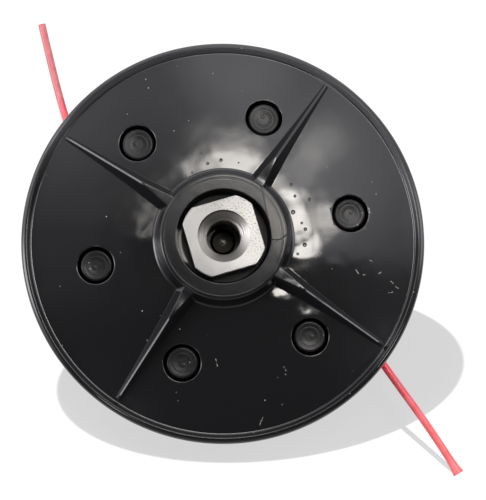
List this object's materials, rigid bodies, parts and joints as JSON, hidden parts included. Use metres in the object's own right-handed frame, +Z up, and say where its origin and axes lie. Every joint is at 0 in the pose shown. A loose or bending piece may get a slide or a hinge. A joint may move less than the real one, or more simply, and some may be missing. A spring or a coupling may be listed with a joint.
{
  "type": "trimmer line spool",
  "caption": "Round black trimmer line head: ribbed domed cap over a drum with a wound line, red line tails through side eyelets and a steel arbor nut in the hub.",
  "frame": {"origin": "centre of the cup's flat foot, on the surface it stands on", "axes": "+Z up along the arbor axis, towards the arbor nut; +X through one of the six posts"},
  "size_m": [0.125, 0.1677, 0.043],
  "materials": {
    "black_plastic": "glossy injection moulding with sink marks",
    "turned_steel": "turned and milled, satin",
    "plated_steel": "zinc plated",
    "blackened_steel": "black oxide, oiled",
    "eyelet_metal": "turned, satin",
    "red_line": "extruded nylon monofilament"
  },
  "bodies": {
    "root": {"upper_flange": "black_plastic", "lower_cup": "black_plastic", "arbor_nut": "turned_steel", "clamp_bolt": "blackened_steel", "spring_washer": "plated_steel", "clamp_washer": "plated_steel", "eyelet_left": "eyelet_metal", "eyelet_right": "eyelet_metal", "line_winding": "red_line", "line_tail_left": "red_line", "line_tail_right": "red_line"}
  },
  "joints": []
}
